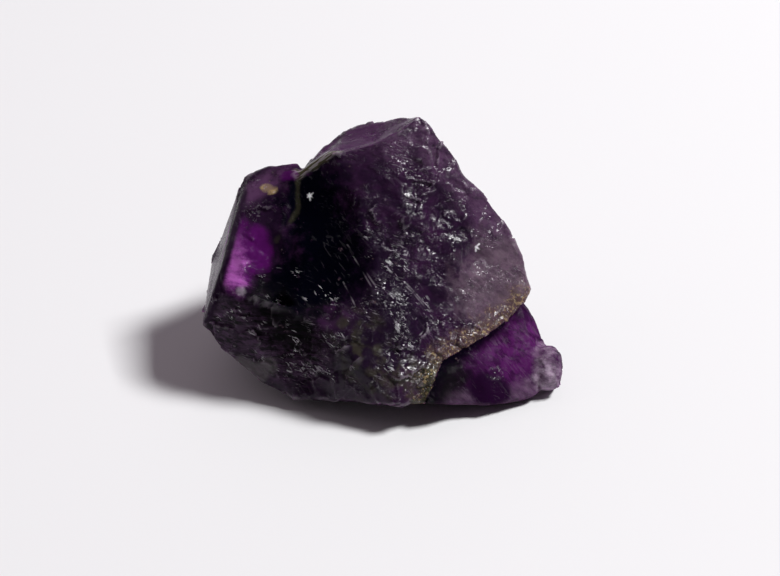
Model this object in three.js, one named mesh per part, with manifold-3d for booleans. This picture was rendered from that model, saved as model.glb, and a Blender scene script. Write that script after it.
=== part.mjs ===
// A rough amethyst: one broken and lightly tumbled lump of violet quartz, lying on its own flat
// fracture. Millimetres, +X to the right, +Y to the back, +Z up, origin on the resting face
// under the middle of the bounding box.
//
// The lump grew as one solid. Its outer shape is made as a stonecutter would describe it: four
// convex masses that are grown together, each given by its corners, a rounded nub at the right
// end, and the shell-shaped scars where flakes have split away. All of it is one closed body in
// one mesh.
import * as THREE from "three";
import { ConvexGeometry } from "three/addons/geometries/ConvexGeometry.js";
import { mergeVertices } from "three/addons/utils/BufferGeometryUtils.js";
import Module from "manifold-3d";

// Driving dimensions
const LENGTH = 45; // overall, left corner to right nub: the whole lump is scaled to it
const SCAR_SEGMENTS = 32; // round a scar's ball
const WELD = 1e-4; // corners closer than this are one corner

// The main mass: a steep, broad front fracture under a ridge that climbs to the peak.
const MAIN_MASS = [
  // ridge, from the left end up to the peak
  [-10.2, 4.7, 22.8],
  [-4.8, 5.7, 26.4],
  [2.0, 7.3, 28.6],
  [3.6, 8.2, 28.6],
  [5.2, 8.4, 28.6],
  [5.7, 7.4, 27.6],
  // back edge of the glassy slope behind the ridge
  [2.2, 12.0, 26.2],
  [-1.4, 13.4, 24.7],
  [-4.4, 13.8, 22.9],
  [-8.3, 12.8, 19.4],
  // right edge of the front fracture, going down
  [7.4, 6.7, 25.1],
  [9.8, 4.8, 22.2],
  [13.0, 4.1, 19.7],
  [15.4, 2.7, 16.7],
  [17.7, 0.6, 12.9],
  [18.6, -1.6, 9.5],
  // foot of the front fracture, along the step above the right crystal
  [17.9, -3.4, 8.9],
  [15.3, -5.9, 7.7],
  [12.7, -7.8, 7.0],
  [7.3, -11.7, 6.3],
  [5.2, -15.9, 3.2],
  // front foot, going left: it hangs over the ground
  [2.1, -17.6, 4.1],
  [-5.2, -14.4, 2.2],
  [-11.0, -12.9, 1.5],
  // belly of the front
  [1.0, -8.9, 12.7],
  [-8.8, -9.6, 13.4],
  // left side, hidden where the shoulder and the left foot have grown over it
  [-14.0, -5.6, 12.6],
  [-13.4, 1.4, 18.2],
  [-12.0, 6.0, 19.6],
  // back and right flanks
  [13.4, 7.8, 11.5],
  [15.4, 5.4, 6.6],
  [11.4, 12.2, 7.0],
  [4.4, 14.9, 15.2],
  [3.0, 15.4, 6.2],
  [-7.6, 15.0, 10.2],
  [-12.8, 11.6, 12.0],
  // resting face
  [4.6, -12.2, 0],
  [-6.0, -11.6, 0],
  [-10.6, -8.2, 0],
  [-12.4, 3.0, 0],
  [-8.6, 11.2, 0],
  [2.6, 13.4, 0],
  [8.6, 10.0, 0],
  [7.6, 2.0, 0],
];

// The left shoulder, with the flat crystal face on its left side.
const LEFT_SHOULDER = [
  // rounded top rim
  [-10.3, 7.2, 22.6],
  [-10.6, 4.6, 22.9],
  [-14.2, 6.4, 22.6],
  [-16.6, 5.8, 21.6],
  [-17.8, 5.2, 20.0],
  // front edge of the crystal face, from the top down to the left corner
  [-17.5, 3.6, 19.9],
  [-19.3, -4.8, 15.8],
  [-21.0, -7.0, 11.6],
  [-22.2, -7.1, 7.8],
  // back edge of the crystal face
  [-21.7, 3.0, 9.8],
  [-21.9, -2.6, 6.8],
  // front of the shoulder
  [-18.4, -7.4, 13.9],
  [-13.4, -7.9, 14.4],
  [-12.0, -1.6, 19.4],
  // back and underside
  [-12.6, 11.2, 15.6],
  [-17.4, 8.4, 10.2],
  [-18.0, 4.6, 4.2],
  [-16.6, -5.4, 3.2],
  [-11.0, 9.6, 3.6],
  [-12.8, 4.2, 0],
  [-11.6, -5.2, 0],
  [-6.0, 0, 12.0],
];

// The lower left block, rolling under to the front foot.
const LEFT_FOOT = [
  [-21.8, -7.0, 7.6],
  [-19.9, -7.8, 5.5],
  [-17.5, -9.4, 3.7],
  [-14.8, -11.3, 2.1],
  [-11.3, -13.1, 1.5],
  [-6.2, -14.0, 2.3],
  [-18.6, -7.7, 13.3],
  [-13.4, -8.6, 13.8],
  [-8.6, -9.9, 13.3],
  [-4.0, -12.6, 8.6],
  [-17.8, -3.6, 5.0],
  [-14.4, -6.4, 1.0],
  [-12.2, -3.4, 0],
  [-10.6, -8.8, 0],
  [-7.0, -10.6, 0],
];

// The right crystal, a lower block that the main mass has grown over.
const RIGHT_CRYSTAL = [
  // along the step, a little in behind the edge of the main mass
  [17.5, -1.8, 8.1],
  [14.8, -5.1, 7.0],
  [12.1, -7.0, 6.3],
  [7.2, -12.3, 6.1],
  [5.9, -14.5, 5.5],
  // crest and sides
  [18.5, -0.8, 5.6],
  [19.4, -3.4, 5.4],
  [20.3, -5.4, 4.2],
  [19.0, -8.6, 4.6],
  [15.6, -10.8, 4.3],
  [10.8, -12.4, 3.5],
  [5.4, -16.7, 3.7],
  [13.4, -14.9, 1.8],
  [19.0, -12.4, 1.3],
  [20.2, -10.6, 1.2],
  [6.0, -12.4, 0],
  [13.0, -12.6, 0],
  [18.0, -11.8, 0],
  [18.8, -8.0, 0],
  [15.6, 3.6, 0],
  [10.4, 10.2, 0],
  // right and back flank
  [17.4, 1.8, 4.4],
  [12.6, 10.0, 4.2],
  // inside the main mass
  [3.4, -8.6, 0],
  [4.2, 9.0, 0],
  [6.4, 11.2, 2.4],
];

// The nub at the far right end: a ball pressed towards a block. Its shape runs from 1, a ball,
// to 0, a block.
const NUB = { middle: [20.55, -8.7, 2.6], half: [1.85, 2.9, 2.0], tilt: 0.5, shape: 0.72 };

// Named scars: where each lies, the way it faces, how round it is and how deep it bites.
// The upper hollow is cut into the main mass alone, and runs in under the edge of the shoulder.
const UPPER_HOLLOW = { at: [-7.6, -1.4, 20.4], facing: [-0.12, -0.7, 0.7], radius: 12, depth: 1.7 };
const LOWER_HOLLOWS = [
  { at: [-5.4, -5.8, 16.8], facing: [-0.1, -0.76, 0.64], radius: 14, depth: 1.9 },
  { at: [-10.6, -5.6, 16.2], facing: [-0.2, -0.7, 0.69], radius: 11, depth: 1.3 },
];
const SCARS = [
  { at: [10.6, 5.2, 22.1], facing: [0.74, -0.2, 0.64], radius: 5, depth: 0.5 }, // right edge nick
  { at: [-2.6, 9.6, 25.1], facing: [-0.28, 0.22, 0.93], radius: 22, depth: 0.6 }, // glassy slope
  { at: [8.6, 12.8, 15.0], facing: [0.5, 0.8, 0.34], radius: 13, depth: 1.2 }, // upper back
  { at: [-6.0, 14.2, 14.8], facing: [-0.32, 0.88, 0.35], radius: 16, depth: 1.0 }, // left back
  { at: [4.6, 15.0, 8.2], facing: [0.16, 0.98, -0.1], radius: 10, depth: 0.7 }, // low back
  { at: [15.0, 5.2, 9.4], facing: [0.85, 0.48, 0.2], radius: 9, depth: 0.8 }, // right flank
  { at: [12.9, -13.9, 3.6], facing: [-0.1, -0.75, 0.65], radius: 7, depth: 0.5 }, // right crystal
];

// Flakes: the many shallow scars all over each mass, laid out on a spiral of golden angles. The
// spiral stops above the resting face, at lowest, the sine of its lowest direction.
const MAIN_FLAKES = { count: 60, lowest: -0.7, radius: [6, 22], depth: [0.22, 0.5] };
const SHOULDER_FLAKES = { count: 16, lowest: -0.2, radius: [5, 12], depth: [0.15, 0.35] };
const FOOT_FLAKES = { count: 24, lowest: -0.8, radius: [5, 12], depth: [0.15, 0.4] };
const CRYSTAL_FLAKES = { count: 16, lowest: 0, radius: [4, 9], depth: [0.1, 0.3] };
const CRYSTAL_FACE = -0.8; // a face that looks this far to the left stays flat, as it grew
const RESTING_FACE = -0.95; // and so does one that looks this far down
const GOLDEN_ANGLE = Math.PI * (3 - Math.sqrt(5));
const OUTSIDE = 60; // a point this far from the middle is outside the lump

const wasm = await Module();
wasm.setup();

// A closed three.js geometry as a solid that can be joined and cut.
function solid(geometry) {
  const bare = geometry.clone();
  bare.deleteAttribute("normal");
  bare.deleteAttribute("uv");
  const welded = mergeVertices(bare, WELD);
  return new wasm.Manifold(
    new wasm.Mesh({
      numProp: 3,
      vertProperties: new Float32Array(welded.attributes.position.array),
      triVerts: new Uint32Array(welded.index.array),
    }),
  );
}

// A convex mass from its corners.
function mass(corners) {
  return solid(new ConvexGeometry(corners.map((corner) => new THREE.Vector3(...corner))));
}

// The pressed ball of the nub.
function nub({ middle, half, tilt, shape }) {
  const ball = new THREE.IcosahedronGeometry(1, 3);
  const places = ball.attributes.position.array;
  places.forEach((value, index) => {
    places[index] = Math.sign(value) * Math.abs(value) ** shape;
  });
  ball.scale(...half);
  ball.rotateX(tilt);
  ball.translate(...middle);
  return solid(ball);
}

// The ball that bites a scar: its surface dips by depth below the place on the stone.
function scar({ at, facing, radius, depth }) {
  const outward = new THREE.Vector3(...facing).normalize();
  const ball = new THREE.SphereGeometry(radius, SCAR_SEGMENTS, SCAR_SEGMENTS / 2);
  ball.translate(...outward.multiplyScalar(radius - depth).add(new THREE.Vector3(...at)));
  return solid(ball);
}

// A repeatable number from low to high for a flake.
function chosen(flake, salt, [low, high]) {
  const wave = Math.sin((flake + 1) * 12.9898 + salt * 78.233) * 43758.5453;
  return low + (high - low) * (wave - Math.floor(wave));
}

// A convex mass with its flakes split off, each where its direction from the middle leaves it.
function flaked(corners, { count, lowest, radius, depth }) {
  let shape = mass(corners);
  const skin = new THREE.Mesh(geometryOf(shape), new THREE.MeshBasicMaterial());
  const middle = new THREE.Box3().setFromObject(skin).getCenter(new THREE.Vector3());
  for (let flake = 0; flake < count; flake += 1) {
    const height = 1 - (1 - lowest) * ((flake + 0.5) / count);
    const level = Math.sqrt(1 - height * height);
    const turn = flake * GOLDEN_ANGLE;
    const outward = new THREE.Vector3(level * Math.cos(turn), level * Math.sin(turn), height);
    const start = middle.clone().addScaledVector(outward, OUTSIDE);
    const [hit] = new THREE.Raycaster(start, outward.clone().negate()).intersectObject(skin);
    const { normal } = hit.face;
    if (normal.x > CRYSTAL_FACE && normal.z > RESTING_FACE) {
      const bite = {
        at: hit.point.toArray(),
        facing: normal.toArray(),
        radius: chosen(flake, 1, radius),
        depth: chosen(flake, 2, depth),
      };
      shape = shape.subtract(scar(bite));
    }
  }
  return shape;
}

// A solid back as a three.js geometry.
function geometryOf(shape) {
  const { vertProperties, triVerts } = shape.getMesh();
  const geometry = new THREE.BufferGeometry();
  geometry.setAttribute("position", new THREE.BufferAttribute(new Float32Array(vertProperties), 3));
  geometry.setIndex(new THREE.BufferAttribute(new Uint32Array(triVerts), 1));
  return geometry;
}

let lump = flaked(MAIN_MASS, MAIN_FLAKES).subtract(scar(UPPER_HOLLOW));
const grownOn = [
  flaked(LEFT_SHOULDER, SHOULDER_FLAKES),
  flaked(LEFT_FOOT, FOOT_FLAKES),
  flaked(RIGHT_CRYSTAL, CRYSTAL_FLAKES),
  nub(NUB),
];
for (const grown of grownOn) {
  lump = lump.add(grown);
}
for (const split of [...LOWER_HOLLOWS, ...SCARS]) {
  lump = lump.subtract(scar(split));
}

// Flakes under a grown-over face leave sealed pockets between two masses. The real lump is solid
// there, so only its outer skin is kept.
const [outerSkin] = lump.decompose().sort((a, b) => b.volume() - a.volume());
lump = outerSkin;

// Put the resting face on Z = 0, with the origin under the middle of the box, at full size.
const geometry = geometryOf(lump);
geometry.computeBoundingBox();
const { min, max } = geometry.boundingBox;
geometry.translate(-(min.x + max.x) / 2, -(min.y + max.y) / 2, -min.z);
const fullSize = LENGTH / (max.x - min.x);
geometry.scale(fullSize, fullSize, fullSize);
geometry.computeVertexNormals();

const amethyst = new THREE.MeshStandardMaterial({
  color: new THREE.Color(0.12, 0.05, 0.17),
  roughness: 0.32,
  metalness: 0,
});

const stone = new THREE.Mesh(geometry, amethyst);
stone.name = "amethyst_stone";

const group = new THREE.Group();
group.add(stone);
export default group;
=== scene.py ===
# %% [markdown]
# # A rough amethyst
# One broken and lightly tumbled lump of violet quartz. It is a single solid: the main mass with
# its steep front fracture, a shoulder with one flat crystal face at the left, a rolled-under foot
# below it, and at the right a lower crystal behind an iron-stained seam.
#
# The lesson: take a plain solid of the right size, turn it into a fine even skin, let Geometry
# Nodes break that skin the way quartz breaks, and then colour it by what each region of the stone
# is: clear and nearly black, cloudy, lit through, or stained.

# %% Load the solid
import math
import random

import bmesh
import bpy
import numpy as np
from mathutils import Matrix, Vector


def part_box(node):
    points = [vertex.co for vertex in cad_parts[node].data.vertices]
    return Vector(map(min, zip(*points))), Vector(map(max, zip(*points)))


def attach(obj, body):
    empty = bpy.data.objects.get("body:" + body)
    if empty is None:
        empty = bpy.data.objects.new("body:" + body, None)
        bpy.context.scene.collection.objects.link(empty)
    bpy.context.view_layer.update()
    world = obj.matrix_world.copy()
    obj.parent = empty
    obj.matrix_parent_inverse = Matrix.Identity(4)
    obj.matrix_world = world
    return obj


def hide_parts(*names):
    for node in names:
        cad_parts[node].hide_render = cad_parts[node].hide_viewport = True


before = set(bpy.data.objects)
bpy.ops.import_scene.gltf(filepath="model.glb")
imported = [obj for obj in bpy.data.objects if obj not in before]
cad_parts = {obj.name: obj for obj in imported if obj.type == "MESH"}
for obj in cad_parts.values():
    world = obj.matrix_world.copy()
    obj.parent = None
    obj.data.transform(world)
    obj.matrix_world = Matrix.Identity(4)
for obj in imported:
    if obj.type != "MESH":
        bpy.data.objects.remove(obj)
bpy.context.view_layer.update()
stone_low, stone_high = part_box("amethyst_stone")
DRAWN_LENGTH = 45.0
mm = (stone_high.x - stone_low.x) / DRAWN_LENGTH
print(f"solid: {[round(side / mm, 1) for side in stone_high - stone_low]} mm")

# %% [markdown]
# ## Camera
# A long lens looks down at the stone from the front, as one looks at a pebble on a table. The
# camera aims at a point inside the lump, a third of the way up.

# %% Camera
CAMERA_HEIGHT = math.radians(38)
CAMERA_DISTANCE = 234 * mm
aim = Vector((0.9, 1.2, 8.4)) * mm


def turned_towards(thing, place, target):
    """Puts a camera or lamp at a place and points it at a target."""
    thing.location = place
    thing.rotation_euler = (target - place).to_track_quat("-Z", "Y").to_euler()
    return thing


def added(thing):
    """Links a new object to the scene."""
    bpy.context.scene.collection.objects.link(thing)
    return thing


lens = bpy.data.cameras.new("camera")
lens.lens = 85
lens.sensor_width = 36
lens.clip_start = 0.01
camera = added(bpy.data.objects.new("camera", lens))
outward = Vector((0, -math.cos(CAMERA_HEIGHT), math.sin(CAMERA_HEIGHT)))
turned_towards(camera, aim + CAMERA_DISTANCE * outward, aim)
bpy.context.scene.camera = camera
print(f"camera {CAMERA_DISTANCE / mm:.0f} mm away, {math.degrees(CAMERA_HEIGHT):.0f} degrees up")

# %% [markdown]
# ## A fine, even skin
# The solid is made of a few thousand long triangles. Chips the size of a grain of sugar need
# many small, even faces, so a merged copy of the solid goes through a voxel remesh. It builds a
# new closed skin of squares that are all about the same size.

# %% Fine skin
SKIN_SIZE = 0.235 * mm


def plain_mesh(maker, name):
    """The evaluated object as a new plain mesh object; the maker is removed."""
    graph = bpy.context.evaluated_depsgraph_get()
    mesh = bpy.data.meshes.new_from_object(maker.evaluated_get(graph), depsgraph=graph)
    mesh.name = name
    bpy.data.objects.remove(maker)
    return added(bpy.data.objects.new(name, mesh))


def remeshed(node, name, size):
    """A copy of a CAD node with its loose triangles merged, remeshed in small squares."""
    work = bmesh.new()
    work.from_mesh(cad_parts[node].data)
    bmesh.ops.remove_doubles(work, verts=work.verts, dist=0.001 * mm)
    mesh = bpy.data.meshes.new(name)
    work.to_mesh(mesh)
    work.free()
    blank = added(bpy.data.objects.new(name, mesh))
    remesh = blank.modifiers.new("even squares", "REMESH")
    remesh.mode = "VOXEL"
    remesh.voxel_size = size
    return plain_mesh(blank, name)


skin = remeshed("amethyst_stone", "amethyst_stone_skin", SKIN_SIZE)
print(f"skin: {len(skin.data.polygons)} squares")

# %% [markdown]
# ## Regions of the stone
# Each region gets a soft field on the skin's points: 1 in its middle, 0 outside. A field is the
# closeness to a short route drawn through the region, in the stone's own millimetres. The relief
# and the colours both read these fields, so a polished place is also a glossy one.

# %% Points of the skin
points = np.empty(len(skin.data.vertices) * 3)
skin.data.vertices.foreach_get("co", points)
points = points.reshape(-1, 3) / mm
normals = np.empty(len(skin.data.vertices) * 3)
skin.data.vertices.foreach_get("normal", normals)
normals = normals.reshape(-1, 3)
print(f"skin: {len(points)} points, from {points.min(axis=0).round(1)} mm")

# %% Closeness to a route
TOWARDS_VIEWER = np.array([0, -0.79, 0.62])


def measured_to_route(route):
    """For each point, the distance to a route of straight stretches, and its side: left is +."""
    best = np.full(len(points), np.inf)
    side = np.zeros(len(points))
    for start, end in zip(route[:-1], route[1:]):
        start, along = np.array(start), np.array(end) - np.array(start)
        share = np.clip((points - start) @ along / (along @ along), 0, 1)
        offset = points - start - share[:, None] * along
        away = np.linalg.norm(offset, axis=1)
        closer = away < best
        best[closer] = away[closer]
        side[closer] = (offset @ np.cross(along, TOWARDS_VIEWER))[closer]
    return best, side


def near_route(route, reach):
    """1 on the route, falling evenly to 0 at reach millimetres from it."""
    return np.clip(1 - measured_to_route(route)[0] / reach, 0, 1)


def facing(direction, least):
    """1 where the skin faces a direction, 0 where their cosine is at most least."""
    direction = np.array(direction) / np.linalg.norm(direction)
    return np.clip((normals @ direction - least) / (1 - least), 0, 1)


print(f"points facing up: {int((facing((0, 0, 1), 0.9) > 0).sum())}")

# %% [markdown]
# ## Places on the stone
# Places come in three ways. The stained seam and the ridge are edges of the solid itself, so they
# use the corners of its drawing, moved and scaled as the solid is. A place on the front can be
# given as an x and a height, and its depth is then read from the skin. The other routes are
# written in the stone's own millimetres. They need not be exact, because a field reaches a few
# millimetres beyond its route.

# %% Ways to give a place
DRAWN_LEFT, DRAWN_RIGHT, DRAWN_FRONT = -22.2, 22.4, -17.6
ASIDE_COST = 20


def drawn(*corners):
    """Corners as the solid's own drawing has them, scaled and moved as the solid is."""
    scale = DRAWN_LENGTH / (DRAWN_RIGHT - DRAWN_LEFT)
    left, front = stone_low.x / mm, stone_low.y / mm
    return [
        (left + scale * (x - DRAWN_LEFT), front + scale * (y - DRAWN_FRONT), scale * z)
        for x, y, z in corners
    ]


def front_at(x, height):
    """The foremost place on the skin at an x and a height; a millimetre aside weighs most."""
    aside = np.hypot(points[:, 0] - x, points[:, 2] - height)
    return points[np.argmin(points[:, 1] + ASIDE_COST * aside)]


print("front of the stone at half its height:", front_at(0, 14).round(1))

# %% Edges and seams
STAINED_SEAM = drawn(
    (17.9, -3.4, 8.9), (15.3, -5.9, 7.7), (12.7, -7.8, 7.0), (7.3, -11.7, 6.3), (5.2, -15.9, 3.2)
)
RIDGE = drawn((-10.2, 4.7, 22.8), (-4.8, 5.7, 26.4), (2.0, 7.3, 28.6))
SHOULDER_SEAM = [front_at(-10.5, 22.5), front_at(-10.5, 20), front_at(-13, 18)]
SHOULDER_RIM = [(-16.4, 4.4, 21.2), (-13.6, 5.6, 22.0), (-10.4, 5.4, 22.8)]
CRYSTAL_EDGE = [(-17.7, 4.6, 20.6), (-19.4, -3.0, 16.2), (-20.8, -5.8, 12.8), (-22.0, -6.2, 9.4)]
CLOUDY_EDGE = [(16.6, -1.2, 10.0), (12.6, -3.4, 11.2), (15.0, 0.2, 13.4)]
DUSKY_EDGE = [
    (1.6, 6.2, 26.8), (4.6, 7.2, 27.8), (8.0, 5.8, 24.2), (12.0, 4.0, 20.4), (14.4, 2.8, 17.6),
]
seam_distance, seam_side = measured_to_route(STAINED_SEAM)
print(f"the seam passes {seam_distance.min():.2f} mm from the skin")

# %% Hollows, windows and patches
WINDOW = [(-18.4, 0.2, 18.0), (-18.2, -2.6, 16.4), (-18.1, -5.0, 14.8)]
INNER_WINDOW = [(-15.6, -1.2, 18.0), (-15.0, -3.6, 16.6)]
CLEAR_HOLLOW = [
    (-9.0, 3.4, 21.2), (-8.4, 1.2, 19.8), (-7.0, -1.4, 17.9), (-6.4, -4.0, 15.4), (-9.8, -5.0, 14.8),
]
LOW_HOLLOW = [(-8.6, -6.4, 13.0), (-13.4, -6.6, 13.6), (-11.0, -9.4, 10.0)]
FOOT = [(-20, -7.0, 9), (-15, -8.8, 8.4), (-11, -10.2, 8)]
GREY_PATCHES = [(-17.4, -8.8, 4.4), (-15.4, -9.9, 3.6), (-13.9, -10.2, 5.3)]
SHADED_LOWER_MIDDLE = [(-1.2, -3.4, 17.2), (2.0, -8.4, 12.4), (0.4, -11.4, 9.4), (-4.0, -11.6, 8.0)]
OLIVE_FRONT = [(-3, -10.5, 10.5), (-1, -13, 6), (4, -14, 5.5)]
LIT_HEART = [(17.4, -5.6, 6.0), (15.8, -9.0, 5.0)]
PALE_TOES = [(8.6, -14.4, 2.8), (14, -13.6, 1.6), (18.6, -11.6, 2.2)]
NUB = [(20.4, -9.0, 2.2), (20.2, -6.6, 3.0)]
print(f"hollow: {len(CLEAR_HOLLOW)} corners, from {CLEAR_HOLLOW[0]} to {CLEAR_HOLLOW[-1]}")

# %% [markdown]
# ## Fields on the skin
# A point belongs to the main mass or to the right crystal by its side of the stained seam. The
# crystal starts right of a plane across the stone, because left of it the seam has ended.

# %% Fields by the seam and on the right crystal
CRYSTAL_LEFT = 4.5
on_main = seam_side > 0
on_crystal = ~on_main & (points[:, 0] > CRYSTAL_LEFT)
fields = {
    "stain": np.clip(1 - seam_distance / 4, 0, 1) * on_main,
    "low_crystal": np.clip(1 - seam_distance / 20, 0, 1) * on_crystal,
    "seam_overhang_shadow": np.clip(1 - seam_distance / 3.5, 0, 1) * on_crystal,
    "dark_corner": near_route([(5.6, -15, 4.4), (8.6, -12.6, 5.4)], 5) * on_crystal,
    "lit_heart": near_route(LIT_HEART, 5.5) * on_crystal,
    "toes": near_route(PALE_TOES, 3.2) * on_crystal,
    "bump": near_route([(13.9, -11.0, 4.4), (14.6, -11.2, 4.4)], 1.5) * on_crystal,
    "hollow_shadow_spot": near_route([(12.5, -12.5, 3.5), (14, -12.5, 3)], 2.8) * on_crystal,
    "stain_end": near_route([(5.6, -13.6, 5.2), (5.0, -15.2, 3.5)], 4.5) * on_main,
    "nub": near_route(NUB, 3.4),
}
print(f"{int(on_crystal.sum())} points on the right crystal")

# %% Fields of the main mass
fields |= {
    "olive": near_route(OLIVE_FRONT, 5),
    "dusky": near_route(DUSKY_EDGE, 4.0),
    "hollow": near_route(CLEAR_HOLLOW, 7.0),
    "low_hollow": near_route(LOW_HOLLOW, 5.0),
    "foot": near_route(FOOT, 7),
    "lower_middle_shade": near_route(SHADED_LOWER_MIDDLE, 6.5),
    "grey": near_route(GREY_PATCHES, 1.8),
    "cloudy": near_route(CLOUDY_EDGE, 7),
    "slope": near_route([(-8, 7.2, 23.4), (0, 9.7, 27)], 8) * facing((-0.28, 0.25, 0.93), 0.8),
    "ridge": near_route(RIDGE, 1.3),
}
print(f"{len(fields)} fields so far")

# %% Fields of the shoulder
FACE_RIGHT = -16
fields |= {
    "join": near_route(SHOULDER_SEAM, 1.2),
    "shoulder": near_route([(-13.6, 2.6, 20.6), (-14.4, -0.6, 18.8)], 4.5),
    "rim": near_route(SHOULDER_RIM, 2.6),
    "window": near_route(WINDOW, 3.4),
    "inner_window": near_route(INNER_WINDOW, 2.6),
    "painted_dark_rim": near_route(CRYSTAL_EDGE, 1.8),
    "crystal_face": facing((-0.93, 0, 0.36), 0.93) * (points[:, 0] < FACE_RIGHT),
    "knob_highlight": near_route([front_at(-17.5, 14), front_at(-17, 14)], 0.9),
    "golden_highlight": near_route([front_at(-14.5, 21.5), front_at(-13.5, 21.5)], 1.2),
    "lit_purple_lip": near_route([(-12.2, 5.6, 22.7), (-11.0, 5.7, 22.8)], 1.2),
}
for name, field in fields.items():
    skin.data.attributes.new(name, "FLOAT", "POINT").data.foreach_set("value", field)
    print(f"field {name}: {int((field > 0).sum())} points")

# %% [markdown]
# ## Sums as nodes
# Both the relief and the colours are sums on textures. A small class wraps an output socket, so
# that a sum written in Python adds the Math nodes that do it. The same class serves a geometry
# tree and a material tree, because both know the same Math nodes.


# %% Wires
class Wire:
    """An output socket holding a number. Arithmetic on it adds Math nodes to its tree."""

    maths = "ShaderNodeMath"

    def __init__(self, tree, socket):
        self.tree, self.socket = tree, socket

    def sum_node(self, operation, *terms):
        return added_node(self.tree, self.maths, {"operation": operation}, dict(enumerate(terms)))

    def __add__(self, other):
        return self.sum_node("ADD", self, other)

    __radd__ = __add__

    def __sub__(self, other):
        return self.sum_node("SUBTRACT", self, other)

    def __rsub__(self, other):
        return self.sum_node("SUBTRACT", other, self)

    def __mul__(self, other):
        return self.sum_node("MULTIPLY", self, other)

    __rmul__ = __mul__

    def __truediv__(self, other):
        return self.sum_node("DIVIDE", self, other)

    def __rtruediv__(self, other):
        return self.sum_node("DIVIDE", other, self)


class Arrow(Wire):
    """An output socket holding a vector."""

    maths = "ShaderNodeVectorMath"

    def dot(self, other):
        node = added_node(self.tree, self.maths, {"operation": "DOT_PRODUCT"}, {0: self, 1: other})
        return Wire(self.tree, node.socket.node.outputs["Value"])

    def length(self):
        node = added_node(self.tree, self.maths, {"operation": "LENGTH"}, {0: self})
        return Wire(self.tree, node.socket.node.outputs["Value"])

    def scaled(self, size):
        return added_node(self.tree, self.maths, {"operation": "SCALE"}, {0: self, "Scale": size})


def added_node(tree, kind, settings=None, inputs=None, output=0):
    """Adds a node, sets it up and plugs it in. Returns one of its outputs as a Wire or an Arrow."""
    node = tree.nodes.new(kind)
    for name, value in (settings or {}).items():
        setattr(node, name, value)
    for name, value in (inputs or {}).items():
        if isinstance(value, Wire):
            tree.links.new(value.socket, node.inputs[name])
        elif isinstance(value, (int, float)) and kind == Arrow.maths and name != "Scale":
            node.inputs[name].default_value = (value, value, value)
        else:
            node.inputs[name].default_value = value
    socket = node.outputs[output]
    holds_vector = socket.type in ("VECTOR", "RGBA")
    return (Arrow if holds_vector else Wire)(tree, socket)


print("wires ready:", Wire.maths, Arrow.maths)


# %% Easing and choosing
def eased(value, low, high):
    """0 below low, 1 above high, and a smooth climb between them."""
    settings = {"interpolation_type": "SMOOTHSTEP"}
    ends = {"Value": value, "From Min": low, "From Max": high}
    return added_node(value.tree, "ShaderNodeMapRange", settings, ends)


def held(value):
    """The value held between 0 and 1."""
    return added_node(value.tree, "ShaderNodeClamp", {}, {"Value": value})


def larger(first, second):
    """The larger of two numbers."""
    return first.sum_node("MAXIMUM", first, second)


print("easing and choosing ready")


# %% Noise and facets
FACET_TILT = 1.6


def clouds(place, size, detail=2.0, rough=0.5, output=0):
    """Soft noise from about 0.3 to 0.7, with lumps of a size in millimetres."""
    settings = {"noise_dimensions": "3D"}
    inputs = {"Vector": place, "Scale": 1 / size, "Detail": detail, "Roughness": rough}
    return added_node(place.tree, "ShaderNodeTexNoise", settings, inputs, output)


def cells(spot, output):
    """Randomly packed cells, one unit wide: the distance to a middle, or a random colour."""
    inputs = {"Vector": spot, "Scale": 1.0}
    return added_node(spot.tree, "ShaderNodeTexVoronoi", {}, inputs, output)


def shards(place, size):
    """Height of flat, randomly tilted facets, from about -0.5 to 0.5, a size in millimetres wide."""
    spot = place.scaled(1 / size)
    cell = cells(spot, "Color")
    middle = Arrow(place.tree, cell.socket.node.outputs["Position"])
    lean = cell - 0.5
    return (spot - middle).dot(lean) * FACET_TILT


def bowls(place, size):
    """Depth of shell-shaped bowls that meet in arrises, 0 in a bowl's middle."""
    near = cells(place.scaled(1 / size), "Distance")
    return near * near


print(f"a facet rises by up to {FACET_TILT / 2} of its width along each axis")

# %% [markdown]
# ## How quartz breaks
# Quartz has no cleavage. It breaks in shells: wide shallow bowls, flat chips leaning every way,
# and fine grains between them. The tree first rounds the edges, as tumbling does, and then
# lifts or sinks each point along its normal by the sum of the three. Polished places keep only a
# little of it, and the resting face keeps none.

# %% Relief sizes and an empty tree
RELIEF_SIZES = {
    "Millimetre": mm,
    "Bowl Width": 7.0,
    "Bowl Depth": 0.8,
    "Chip Width": 2.6,
    "Chip Depth": 0.42,
    "Grain Width": 0.95,
    "Grain Depth": 0.16,
}
EDGE_ROUNDING = 6


def empty_relief_tree():
    """A geometry tree with a named input for each size."""
    tree = bpy.data.node_groups.new("quartz fracture", "GeometryNodeTree")
    tree.interface.new_socket("Geometry", in_out="INPUT", socket_type="NodeSocketGeometry")
    for name in RELIEF_SIZES:
        tree.interface.new_socket(name, in_out="INPUT", socket_type="NodeSocketFloat")
    tree.interface.new_socket("Edge Rounding", in_out="INPUT", socket_type="NodeSocketInt")
    tree.interface.new_socket("Geometry", in_out="OUTPUT", socket_type="NodeSocketGeometry")
    return tree


print("relief:", RELIEF_SIZES)

# %% What breaks and what stays whole
POLISH = 0.93
GROWN_POLISH = 0.9


def share_broken(tree):
    """1 on open fractures, close to 0 on clear glass and grown faces."""

    def field(name):
        kind = "GeometryNodeInputNamedAttribute"
        return added_node(tree, kind, {"data_type": "FLOAT"}, {"Name": name})

    clear = eased(larger(field("slope"), field("hollow")), 0.1, 0.5)
    whole = larger(eased(field("crystal_face"), 0.0, 0.3), eased(field("rim"), 0.0, 0.5))
    crystal = eased(field("low_crystal"), 0.0, 0.3) * (1 - field("nub"))
    grown = larger(crystal, field("window")) * GROWN_POLISH
    return 1 - larger(larger(clear, whole), grown) * POLISH


print(f"a polished place keeps {1 - POLISH:.2f} of the relief")

# %% Relief height
MEAN_BOWL = 0.22
RESTING_RIM = 1.6


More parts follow.
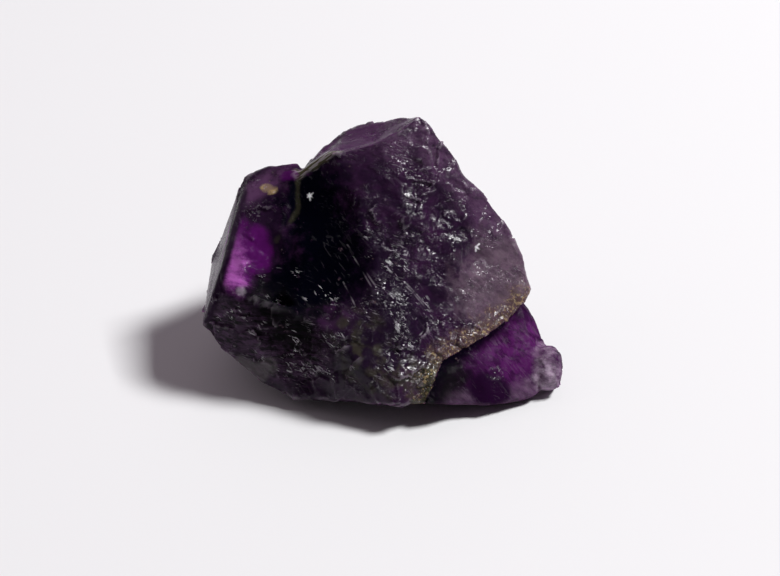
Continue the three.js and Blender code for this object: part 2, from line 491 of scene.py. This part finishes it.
def relief_height(tree, place, size):
    """How far a place is lifted along its normal, in millimetres."""
    bent = place + (clouds(place, 5.0, output="Color") - 0.5).scaled(4.0)
    wrinkled = place + (clouds(place, 1.6, output="Color") - 0.5).scaled(1.2)
    low = added_node(tree, "ShaderNodeSeparateXYZ", {}, {0: place}, "Z")
    off_ground = eased(low, 0.1, RESTING_RIM)
    bowl = (bowls(bent, size["Bowl Width"]) - MEAN_BOWL) * size["Bowl Depth"]
    chip = shards(bent, size["Chip Width"]) * size["Chip Depth"]
    grain = shards(wrinkled, size["Grain Width"]) * size["Grain Depth"]
    hackly = eased(clouds(place, 9.0), 0.42, 0.58)
    broken = bowl + chip * (0.35 + 0.65 * hackly) + grain * hackly
    return broken * share_broken(tree) * off_ground


print(f"the relief fades out below {RESTING_RIM} mm")


# %% Relief tree
def tumbled(tree, geometry, rounds):
    """The skin with its edges rounded by averaging each point with its neighbours."""
    here = added_node(tree, "GeometryNodeInputPosition")
    inputs = {"Value": here, "Iterations": rounds}
    rounded = added_node(tree, "GeometryNodeBlurAttribute", {"data_type": "FLOAT_VECTOR"}, inputs)
    return added_node(tree, "GeometryNodeSetPosition", {}, {0: geometry, "Position": rounded})


def relief_tree(stone_material):
    """Breaks the surface of a fine skin, with the sizes as named inputs."""
    tree = empty_relief_tree()
    start = tree.nodes.new("NodeGroupInput")
    size = {name: Wire(tree, start.outputs[name]) for name in RELIEF_SIZES}
    geometry, rounds = (Wire(tree, start.outputs[name]) for name in ("Geometry", "Edge Rounding"))
    smooth = tumbled(tree, geometry, rounds)
    place = added_node(tree, "GeometryNodeInputPosition").scaled(1 / size["Millimetre"])
    height = relief_height(tree, place, size) * size["Millimetre"]
    lift = added_node(tree, "GeometryNodeInputNormal").scaled(height)
    broken = added_node(tree, "GeometryNodeSetPosition", {}, {0: smooth, "Offset": lift})
    plain = added_node(tree, "GeometryNodeRealizeInstances", {}, {0: broken})
    shown = added_node(tree, "GeometryNodeSetMaterial", {}, {0: plain, "Material": stone_material})
    end = tree.nodes.new("NodeGroupOutput")
    tree.links.new(shown.socket, end.inputs[0])
    return tree


def set_inputs(modifier, values):
    """Sets a Geometry Nodes modifier's inputs by each socket's identifier."""
    for item in modifier.node_group.interface.items_tree:
        if item.item_type == "SOCKET" and item.in_out == "INPUT" and item.name in values:
            modifier[item.identifier] = values[item.name]


print(f"edges are rounded {EDGE_ROUNDING} times")

# %% [markdown]
# ## The finish
# Amethyst is clear quartz with a violet tint, so a thick lump swallows nearly all the light that
# enters it. Each place shows what lies under it: almost black where the glass is deep and clear,
# lilac grey where it is full of veils, bright magenta where light comes out again through a thin
# edge. Iron rust fills the seam between the two grains of quartz. Along the fractures are tiny
# white bruises and hackles, the feathery steps that a break leaves.
#
# One could model clear glass with veils inside it. That renders slowly and is hard to steer, and
# an export of the surface would lose it. Here the depth is painted on the surface instead, in
# layers from the deepest to the newest: clouds, black hollows, painted shade on the lower middle,
# the lower crystal with painted light in its heart and a painted shadow under the seam, the window
# at the shoulder as painted light coming through, bruises and scratches mixed with painted glints
# and highlights, and the rust last. Two coats share those colours. One is glassy and glints, and
# the other hardly mirrors, for the deep places. A mask mixes them.

# %% Colours
VIOLET_BLACK = (0.0008, 0.0009, 0.0034, 1)
DEEP_PURPLE = (0.012, 0.005, 0.017, 1)
SMOKY_PURPLE = (0.038, 0.0115, 0.043, 1)
LILAC_HAZE = (0.165, 0.110, 0.150, 1)
WINE = (0.060, 0.016, 0.066, 1)
LIT_MAGENTA = (0.085, 0.006, 0.105, 1)
LIT_PINK = (0.46, 0.12, 0.48, 1)
CRYSTAL_VIOLET = (0.080, 0.012, 0.092, 1)
FOOT_PURPLE = (0.112, 0.058, 0.122, 1)
DARK_VIOLET = (0.016, 0.0035, 0.021, 1)
PALE_LILAC = (0.20, 0.12, 0.20, 1)
GREY_LILAC = (0.085, 0.055, 0.095, 1)
SMOKE_GREY = (0.12, 0.105, 0.115, 1)
DUSKY_PURPLE = (0.115, 0.058, 0.118, 1)
CLOUDY_LILAC = (0.56, 0.44, 0.56, 1)
ROSE_PURPLE = (0.10, 0.040, 0.105, 1)
BRUISE_AND_HIGHLIGHT_WHITE = (0.62, 0.56, 0.62, 1)
GLINT_WHITE = (0.9, 0.88, 0.92, 1)
IRON_GOLD = (0.52, 0.38, 0.18, 1)
RUST = (0.095, 0.055, 0.052, 1)
OLIVE = (0.050, 0.046, 0.026, 1)
BLACK_GREEN = (0.004, 0.005, 0.004, 1)
print(f"from {VIOLET_BLACK[:3]} to {GLINT_WHITE[:3]}")

# %% Mixing and combing
STROKE_STRETCH = 6.0
STROKE_EDGE = 0.05


def mixed(factor, first, second):
    """A colour between two colours."""
    node = factor.tree.nodes.new("ShaderNodeMix")
    node.data_type = "RGBA"
    for socket, value in ((node.inputs[0], factor), (node.inputs[6], first), (node.inputs[7], second)):
        if isinstance(value, Wire):
            factor.tree.links.new(value.socket, socket)
        else:
            socket.default_value = value
    return Arrow(factor.tree, node.outputs[2])


def combed(place, slant, stretch):
    """A place whose patterns come out stretched along a slant, like hair that is combed."""
    slant = Vector(slant).normalized()
    along = place.dot(tuple(slant))
    direction = added_node(place.tree, "ShaderNodeCombineXYZ", {}, {0: slant.x, 1: slant.y, 2: slant.z})
    return place - direction.scaled(along * (1 - 1 / stretch))


def strokes(place, slant, size, least):
    """Short thin strokes along a slant: 1 on a stroke, 0 elsewhere."""
    noise = clouds(combed(place, slant, STROKE_STRETCH), size, 2.0, 0.55)
    return eased(noise, least, least + STROKE_EDGE)


print(f"strokes are {STROKE_STRETCH:.0f} times as long as wide")

# %% Patterns that the layers share
STROKE_SLANT = (0.94, -0.17, -0.30)
RIDGE_SLANT = (0.86, 0.19, 0.47)
GROWTH_SLANT = (0.97, -0.22, 0.06)
RIB_SLANT = (0.60, -0.48, -0.64)

amethyst = bpy.data.materials.new("amethyst")
amethyst.use_nodes = True
finish = amethyst.node_tree
place = added_node(finish, "ShaderNodeTexCoord", output="Object").scaled(1 / mm)
ragged = (clouds(place, 1.4, 4.0, 0.6) - 0.5) * 1.4
wide_cloud = eased(clouds(place, 5.0, 3.0, 0.55), 0.38, 0.62)
cloud = eased(clouds(combed(place, STROKE_SLANT, 2.2), 1.0, 6.0, 0.68), 0.36, 0.66)
speck = eased(clouds(place, 0.5, 3.0, 0.65), 0.56, 0.70)


def strength(name):
    """The strength of a field here: 1 in the middle of its region, 0 outside."""
    return added_node(finish, "ShaderNodeAttribute", {"attribute_name": name}, output="Fac")


def region(name, low=0.2, high=0.6, fray=0.4):
    """A field with a frayed border: 0 below the low strength, 1 above the high one."""
    return eased(strength(name) + ragged * fray, low, high)


print(f"shared patterns: {len(finish.nodes)} nodes")

# %% [markdown]
# ## The main mass
# The body of the stone is smoky purple in soft clouds, with a lilac haze towards the right edge.
# Where the glass is clear and deep it swallows the light, so the hollow and the lower left are
# laid over the clouds as nearly black regions. The lower middle of the front faces away from the
# lamp, so it is darkened there as painted shade.

# %% Smoky purple clouds
colour = mixed(wide_cloud * 0.55 + cloud * 0.45, DEEP_PURPLE, SMOKY_PURPLE)
colour = mixed(region("cloudy", 0.1, 0.8, 0.9) * (0.5 + 0.4 * cloud), colour, LILAC_HAZE)
colour = mixed(region("dusky", 0.0, 0.9, 0.6) * (0.3 + 0.5 * cloud), colour, DUSKY_PURPLE)
colour = mixed(region("shoulder", 0.1, 0.8, 0.6) * 0.7, colour, DEEP_PURPLE)
colour = mixed(region("rim", 0.2, 0.7), colour, ROSE_PURPLE)
colour = mixed(eased(strength("slope"), 0.05, 0.4) * 0.7, colour, WINE)
print(f"with the clouds: {len(finish.nodes)} nodes")

# %% The dark, clear places and the painted shade
# Painted shade: the lower middle of the front faces away from the lamp and is darkened.
colour = mixed(region("lower_middle_shade", 0.1, 0.8, 0.9) * 0.9, colour, DEEP_PURPLE)
growth = strokes(place, GROWTH_SLANT, 0.42, 0.50)
foot_colour = mixed(growth * 0.35 + cloud * 0.45, BLACK_GREEN, FOOT_PURPLE)
colour = mixed(region("foot", 0.1, 0.6, 0.6) * 0.85, colour, foot_colour)
tinted = eased(clouds(place, 1.5, 4.0), 0.42, 0.62)
colour = mixed(region("olive", 0.1, 0.8, 0.6) * tinted * 0.6, colour, OLIVE)
colour = mixed(region("low_hollow", 0.1, 0.7, 0.9) * 0.85, colour, BLACK_GREEN)
colour = mixed(region("hollow", 0.0, 0.7, 0.9), colour, VIOLET_BLACK)
print(f"with the dark places: {len(finish.nodes)} nodes")

# %% [markdown]
# ## The right crystal
# The second grain of quartz is clearer than the first. Its violet heart is painted light that
# comes through its thin edge, the black just under the seam is a painted shadow of the overhanging
# main mass, and it is milky at its toes and at the small nub.

# %% Violet, veils and wisps
crystal = eased(strength("low_crystal"), 0.0, 0.08)
colour = mixed(crystal, colour, DARK_VIOLET)
violet_cloud = eased(clouds(place, 2.4, 4.0), 0.36, 0.6)
colour = mixed(crystal * violet_cloud * 0.5, colour, CRYSTAL_VIOLET)
# Painted light: the bright violet heart stands for light coming through the thin edge.
colour = mixed(region("lit_heart", 0.05, 0.75, 0.25), colour, CRYSTAL_VIOLET)
veil = eased(clouds(combed(place, RIB_SLANT, 1.8), 1.1, 6.0, 0.7), 0.44, 0.60)
colour = mixed(crystal * veil * 0.65, colour, DARK_VIOLET)
wisp = strokes(place, RIB_SLANT, 0.40, 0.56) * crystal
colour = mixed(wisp * cloud * 0.2, colour, PALE_LILAC)
print(f"with the crystal: {len(finish.nodes)} nodes")

# %% Toes, dark corners and the nub
colour = mixed(region("toes", 0.2, 0.8, 0.8) * (0.25 + 0.35 * cloud), colour, PALE_LILAC)
colour = mixed(region("dark_corner", 0.15, 0.8, 0.5) * 0.85, colour, BLACK_GREEN)
# Painted shadow in a small hollow beside the bump.
colour = mixed(region("hollow_shadow_spot", 0.05, 0.5, 0.4), colour, DARK_VIOLET)
# Painted shadow: black under the overhang of the main mass along the seam.
colour = mixed(region("seam_overhang_shadow", 0.45, 0.95, 0.3) * 0.9, colour, VIOLET_BLACK)
# Painted highlights: white specks on the small bump.
colour = mixed(region("bump", 0.2, 0.8, 0.8) * speck * 0.7, colour, BRUISE_AND_HIGHLIGHT_WHITE)
nub_colour = mixed(cloud, PALE_LILAC, CLOUDY_LILAC)
colour = mixed(region("nub", 0.2, 0.7, 0.5), colour, nub_colour)
print(f"with the nub: {len(finish.nodes)} nodes")

# %% [markdown]
# ## The shoulder and its window
# The flat face at the left grew smooth in the open, so it is an even grey lilac. Below it is the
# window: light that enters behind comes out there, bright pink low down and magenta above.

# %% Grown face and window
WINDOW_TOP = 18.8
colour = mixed(eased(strength("crystal_face"), 0.1, 0.5) * 0.9, colour, GREY_LILAC)
height = added_node(finish, "ShaderNodeSeparateXYZ", {}, {0: place}, "Z")
below_top = eased(WINDOW_TOP - height, 0.0, 3.0)
# Painted light: the window's magenta and pink stand for light that comes through the shoulder from
# behind.
lit_through = eased(strength("window") + (cloud - 0.5) * 0.5, 0.2, 1.1) * below_top
colour = mixed(region("inner_window", 0.15, 0.6, 0.5), colour, LIT_MAGENTA)
painted_window_light = mixed(lit_through, LIT_MAGENTA, LIT_PINK)
colour = mixed(region("window", 0.15, 0.75, 0.9), colour, painted_window_light)
# Painted shade: a dark rim along the edge of the grown face, as refraction shows it.
colour = mixed(region("painted_dark_rim", 0.3, 0.7, 0.15), colour, DARK_VIOLET)
print(f"with the window: {len(finish.nodes)} nodes")

# %% [markdown]
# ## Bruises and painted glints
# A blow leaves fine white feathers in quartz. They run in bands along the fractures and are
# faint where the glass is clear, so a mask holds them back there. The white strokes and specks
# are partly these bruises and partly painted glints. Painted glints also gather in patches on the
# broken low parts. A seeded loop strews the few long scratches, whose white lines are partly
# painted glints as well.

# %% Strokes and specks
bruise_and_glint_mask = 1 - eased(larger(strength("hollow"), strength("window")), 0.1, 0.4) * 0.9
hackly = eased(clouds(place, 3.2, 2.0), 0.47, 0.64)
bruise_and_glint_mask = bruise_and_glint_mask * (1 - crystal * 0.75)
# The white strokes and specks below are partly bruises and partly painted glints.
bruise_and_glint_stroke = strokes(place, STROKE_SLANT, 0.27, 0.62) * hackly * bruise_and_glint_mask
rib = strokes(place, RIB_SLANT, 0.45, 0.58) * eased(clouds(place, 4.1, 1.0), 0.46, 0.6)
colour = mixed(rib * 0.025, colour, BRUISE_AND_HIGHLIGHT_WHITE)
colour = mixed(bruise_and_glint_stroke * 0.18, colour, BRUISE_AND_HIGHLIGHT_WHITE)
colour = mixed(speck * hackly * bruise_and_glint_mask * 0.10, colour, BRUISE_AND_HIGHLIGHT_WHITE)
print(f"with the strokes: {len(finish.nodes)} nodes")

# %% Ridge, crests and small patches, with painted highlights
# Painted highlight: pale streaks along the ridge stand for light mirrored on its glassy band, over a
# dark olive edge.
ridge_highlight_streaks = strokes(place, RIDGE_SLANT, 0.5, 0.48)
ridge_olive_and_highlight = mixed(ridge_highlight_streaks * 0.26, OLIVE, BRUISE_AND_HIGHLIGHT_WHITE)
colour = mixed(region("ridge", 0.1, 0.6, 0.5), colour, ridge_olive_and_highlight)
colour = mixed(eased(strength("crest"), 0.3, 1.2) * bruise_and_glint_mask * 0.18, colour, BRUISE_AND_HIGHLIGHT_WHITE)
colour = mixed(region("grey", 0.2, 0.6, 0.4) * 0.8, colour, SMOKE_GREY)
# Painted highlight on the round knob below the window.
colour = mixed(region("knob_highlight", 0.2, 0.9, 1.0) * 0.4, colour, BRUISE_AND_HIGHLIGHT_WHITE)
# Painted light: a bright magenta patch where light comes through the thin lip.
colour = mixed(region("lit_purple_lip", 0.2, 0.8, 0.8) * 0.6, colour, LIT_MAGENTA)
# Painted highlight: a small white-gold glint on the shoulder top.
golden_highlight = region("golden_highlight", 0.3, 0.9, 1.2) * (0.35 + 0.65 * cloud)
colour = mixed(golden_highlight, colour, mixed(speck, IRON_GOLD, BRUISE_AND_HIGHLIGHT_WHITE))
print(f"with the patches: {len(finish.nodes)} nodes")

# %% Painted glints
# Painted glints: white strokes gathered in patches on the broken low parts.
glint = larger(strokes(place, RIB_SLANT, 0.34, 0.60), strokes(place, STROKE_SLANT, 0.28, 0.61))
gathered = eased(clouds(place, 2.4, 1.0), 0.55, 0.64)
broken_low = larger(larger(region("foot"), region("low_hollow")), region("lower_middle_shade"))
colour = mixed(gathered * broken_low * glint * 0.4, colour, GLINT_WHITE)
print(f"with the glints: {len(finish.nodes)} nodes")

# %% Painted glint stars and scratches
GLINT_STARS = [front_at(-9, 21.5), front_at(11.5, 15.5)]
GLINT_STAR_ARMS = [(0.75, -0.28, -0.36), (0.1, -0.35, -0.45), (-0.45, 0.1, 0.12), (0.5, 0.2, 0.25)]
GLINT_STAR_ARM_WIDTH = 0.2
SCRATCH_COUNT = 9
SCRATCH_SEED = 11
SCRATCH_WIDTH = 0.17


def scratch(place, start, end, width):
    """A hair-thin line on the surface from a start to an end, in millimetres."""
    start, along = Vector(start), Vector(end) - Vector(start)
    offset = place - added_node(place.tree, "ShaderNodeCombineXYZ", {}, dict(enumerate(start)))
    step = added_node(place.tree, "ShaderNodeCombineXYZ", {}, dict(enumerate(along)))
    share = held(offset.dot(step) / along.length_squared)
    away = offset - step.scaled(share)
    return 1 - eased(away.length(), 0.0, width)


def scratch_ends():
    """Starts and ends of scratches strewn over the front, all running down to the right."""
    dice = random.Random(SCRATCH_SEED)
    for _ in range(SCRATCH_COUNT):
        x, height, drop = dice.uniform(-5, 12), dice.uniform(10, 18), dice.uniform(1.5, 3.5)
        yield front_at(x, height), front_at(x + drop, height - drop)


# Painted glints: each star is a few bright crossing arms.
for glint_star in GLINT_STARS:
    for arm in GLINT_STAR_ARMS:
        tip, tail = Vector(glint_star) + Vector(arm), Vector(glint_star) - Vector(arm) * 0.5
        colour = mixed(scratch(place, tip, tail, GLINT_STAR_ARM_WIDTH), colour, GLINT_WHITE)
broken = eased(clouds(place, 1.0, 3.0), 0.36, 0.56)
# The scratches are partly real bruise lines and partly painted glint lines.
for start, end in scratch_ends():
    scratch_and_glint_line = scratch(place, start, end, SCRATCH_WIDTH)
    colour = mixed(scratch_and_glint_line * broken * 0.25, colour, BRUISE_AND_HIGHLIGHT_WHITE)
print(f"{len(GLINT_STARS)} stars and {SCRATCH_COUNT} scratches: {len(finish.nodes)} nodes")

# %% [markdown]
# ## Rust and gloss
# Iron rust came last, so it lies over all other layers. It fills a band above the seam, with gold
# and white flecks in it. The greenish join at the shoulder has the same white flecks. The gloss
# then varies a little, since tumbling has dulled some places more than others.

# %% Iron stain, join and gloss
fleck = eased(clouds(place, 0.42, 3.0, 0.6), 0.52, 0.64)
white_fleck = eased(clouds(place, 0.31, 2.0, 0.6), 0.62, 0.68)
stained = region("stain", 0.2, 0.95, 1.1)
stain = mixed(fleck * 0.55, mixed(region("stain_end", 0.1, 0.7), RUST, OLIVE), IRON_GOLD)
stain = mixed(white_fleck * 0.4, stain, BRUISE_AND_HIGHLIGHT_WHITE)
colour = mixed(stained * 0.85, colour, stain)
join_colour = mixed(white_fleck * 0.5, OLIVE, SMOKE_GREY)
colour = mixed(region("join", 0.55, 0.95, 0.5) * 0.4, colour, join_colour)
gloss = 0.12 + 0.14 * eased(clouds(place, 1.1, 3.0), 0.4, 0.7)
print(f"with the rust: {len(finish.nodes)} nodes")

# %% [markdown]
# ## Hackles
# Hackles are steps a few hundredths of a millimetre high, too fine for the mesh. They are combed
# facets in the bump, strong on the open fractures and faint on clear glass.

# %% Fine bump
HACKLE_WIDTH = 0.14
HACKLE_HEIGHT = 0.08 * mm
HACKLE_STRENGTH = 0.8

combed_place = combed(place, STROKE_SLANT, 3.6)
wrinkled = combed_place + (clouds(place, 0.8, output="Color") - 0.5).scaled(0.7)
open_break = 0.08 + 0.92 * hackly * bruise_and_glint_mask
hackles = shards(wrinkled, HACKLE_WIDTH) * open_break * (1 - crystal * 0.8)
micro = hackles + (clouds(place, 0.35, 2.0) - 0.5) * 0.12
bump_inputs = {"Height": micro, "Strength": HACKLE_STRENGTH, "Distance": HACKLE_HEIGHT}
bump = added_node(finish, "ShaderNodeBump", {}, bump_inputs)
print(f"hackles: {HACKLE_WIDTH} mm wide, {HACKLE_HEIGHT / mm:.2f} mm high")

# %% [markdown]
# ## Two coats
# The glassy coat mirrors the lamps as quartz does. The deep coat hardly does, because in the
# hollows a mirrored grey room would hide the black. Both scatter a little light under the skin,
# which softens the borders between the layers. Their difference is on each shader's own socket.

# %% Glassy and deep coats
QUARTZ_INDEX = 1.54
GLASSY_SHINE = 0.17
DEEP_SHINE = 0.003
SCATTER_SHARE = 0.3
SCATTER_COLOUR = (1.0, 0.3, 1.0)
SCATTER_DEPTH = 1.2 * mm

glassy = finish.nodes["Principled BSDF"]
deep = finish.nodes.new("ShaderNodeBsdfPrincipled")
for surface, shine in ((glassy, GLASSY_SHINE), (deep, DEEP_SHINE)):
    finish.links.new(colour.socket, surface.inputs["Base Color"])
    finish.links.new(gloss.socket, surface.inputs["Roughness"])
    finish.links.new(bump.socket, surface.inputs["Normal"])
    surface.inputs["IOR"].default_value = QUARTZ_INDEX
    surface.inputs["Specular IOR Level"].default_value = shine
    surface.inputs["Subsurface Weight"].default_value = SCATTER_SHARE
    surface.inputs["Subsurface Radius"].default_value = SCATTER_COLOUR
    surface.inputs["Subsurface Scale"].default_value = SCATTER_DEPTH
print(f"coats: shine {GLASSY_SHINE} and {DEEP_SHINE}")

# %% Mask between the coats
dark_glass = larger(region("low_hollow", 0.0, 0.3), region("hollow", 0.0, 0.3))
dark_glass = larger(dark_glass, larger(crystal, region("foot", 0.0, 0.4) * 0.7))
dark_glass = larger(dark_glass, larger(strength("slope"), region("shoulder", 0.1, 0.6) * 0.8))
dark_glass = larger(dark_glass, eased(strength("crystal_face"), 0.1, 0.5) * 0.6)
depth = dark_glass * (1 - region("bump", 0.2, 0.7, 0.4) * 0.5)
blend = added_node(finish, "ShaderNodeMixShader", {}, {0: depth}).socket
finish.links.new(glassy.outputs[0], blend.node.inputs[1])
finish.links.new(deep.outputs[0], blend.node.inputs[2])
finish.links.new(blend, finish.nodes["Material Output"].inputs["Surface"])
print(f"finish {amethyst.name}: {len(finish.nodes)} nodes")

# %% [markdown]
# ## Breaking the skin
# The modifier runs the tree on the fine skin with the sizes from the table above. Its result is
# kept as a plain mesh, shaded smooth, because the chips are real geometry and the finest hackles
# come from the bump.

# %% Break the skin
fracture = skin.modifiers.new("quartz fracture", "NODES")
fracture.node_group = relief_tree(amethyst)
set_inputs(fracture, {**RELIEF_SIZES, "Edge Rounding": EDGE_ROUNDING})
stone = plain_mesh(skin, "amethyst_stone_surface")
stone.data.polygons.foreach_set("use_smooth", np.ones(len(stone.data.polygons), bool))
print(f"stone: {len(stone.data.vertices)} points, {2 * len(stone.data.polygons)} triangles")

# %% [markdown]
# ## Crests
# Tumbling bruises a stone where it stands out. The crest field is how far each point stands out
# from the average of its neighbours, spread over a few rings of them.


# %% Crest field
def spread(values, ends, counts, rounds):
    """Averages a value over each point's neighbours, several times."""
    for _ in range(rounds):
        total = np.zeros_like(values)
        np.add.at(total, ends[:, 0], values[ends[:, 1]])
        np.add.at(total, ends[:, 1], values[ends[:, 0]])
        values = (values + total / counts) / 2
    return values


def crest_field(thing, rounds, full_height):
    """1 where the surface stands out by full_height millimetres from its smoothed self."""
    mesh = thing.data
    count = len(mesh.vertices)
    places, normal = np.empty(count * 3), np.empty(count * 3)
    mesh.vertices.foreach_get("co", places)
    mesh.vertices.foreach_get("normal", normal)
    places, normal = places.reshape(-1, 3) / mm, normal.reshape(-1, 3)
    ends = np.empty(len(mesh.edges) * 2, int)
    mesh.edges.foreach_get("vertices", ends)
    ends = ends.reshape(-1, 2)
    counts = np.bincount(ends.ravel(), minlength=count)[:, None]
    out = ((places - spread(places, ends, counts, rounds)) * normal).sum(axis=1)
    mesh.attributes.new("crest", "FLOAT", "POINT").data.foreach_set("value", out / full_height)
    return out


heights = crest_field(stone, rounds=12, full_height=0.12)
print(f"crests stand out by up to {heights.max():.2f} mm")

# %% [markdown]
# ## One body
# Nothing on the stone moves. Its surface rides on the one body and stands for the solid.

# %% Frame calls
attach(stone, "root")
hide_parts("amethyst_stone")
print(f"{stone.name} stands for the solid")

# %% [markdown]
# ## Floor, lights and room
# The stone lies on a plain pale table under one broad soft lamp, high on the right, which throws
# the shadow to the left. A far smaller lamp beside it is seen only in mirror reflections: it
# puts sharp glints on the hackles and no second shadow on the table. The room is bright at the
# back left and dark on the side of the viewer, so the faces that look at the camera stay deep.
# It is faintly pink, as the shadow beside a violet stone is.

# %% Floor
FLOOR_HALF = 3.0


def floor_finish():
    """A matt, nearly white table top."""
    material = bpy.data.materials.new("pale_floor")
    material.use_nodes = True
    shader = material.node_tree.nodes["Principled BSDF"]
    shader.inputs["Base Color"].default_value = (0.8, 0.8, 0.81, 1)
    shader.inputs["Roughness"].default_value = 0.9
    shader.inputs["Specular IOR Level"].default_value = 0.1
    return material


floor_mesh = bpy.data.meshes.new("floor")
corners = [(x * FLOOR_HALF, y * FLOOR_HALF, 0) for x, y in ((-1, -1), (1, -1), (1, 1), (-1, 1))]
floor_mesh.from_pydata(corners, [], [(0, 1, 2, 3)])
floor_mesh.materials.append(floor_finish())
floor = added(bpy.data.objects.new("floor", floor_mesh))
print(f"floor: {2 * FLOOR_HALF} m square")


# %% Lamps
def soft_light(name, towards, away, width, power):
    """A square lamp at a direction from the stone, its distance and width in stone lengths."""
    length = DRAWN_LENGTH * mm
    light = bpy.data.lights.new(name, "AREA")
    light.size = width * length
    light.energy = power
    lamp = added(bpy.data.objects.new(name, light))
    return turned_towards(lamp, Vector(towards).normalized() * away * length, aim)


key = soft_light("key", towards=(0.56, 0.14, 0.78), away=33, width=7, power=26.6)
spark = soft_light("spark", towards=(0.62, -0.25, 0.74), away=33, width=1.0, power=3.0)
spark.visible_diffuse = False
print(f"lamps: {key.data.energy:.1f} W and {spark.data.energy:.1f} W")

# %% Room
ROOM_TINT = (1, 0.85, 0.95, 1)
TOWARDS_BRIGHT_WALL = (-0.5, 0.86, 0.1)


def room(dark, bright):
    """A room that is bright behind the stone and dark on the side of the viewer."""
    world = bpy.data.worlds.new("room")
    world.use_nodes = True
    tree = world.node_tree
    direction = added_node(tree, "ShaderNodeTexCoord", output="Generated")
    back = direction.dot(TOWARDS_BRIGHT_WALL)
    level = dark + (bright - dark) * eased(back, -0.1, 0.9)
    tree.links.new(level.socket, tree.nodes["Background"].inputs["Strength"])
    tree.nodes["Background"].inputs["Color"].default_value = ROOM_TINT
    return world


bpy.context.scene.world = room(dark=0.042, bright=0.5)
bpy.context.scene.view_settings.view_transform = "Standard"
print("room ready")
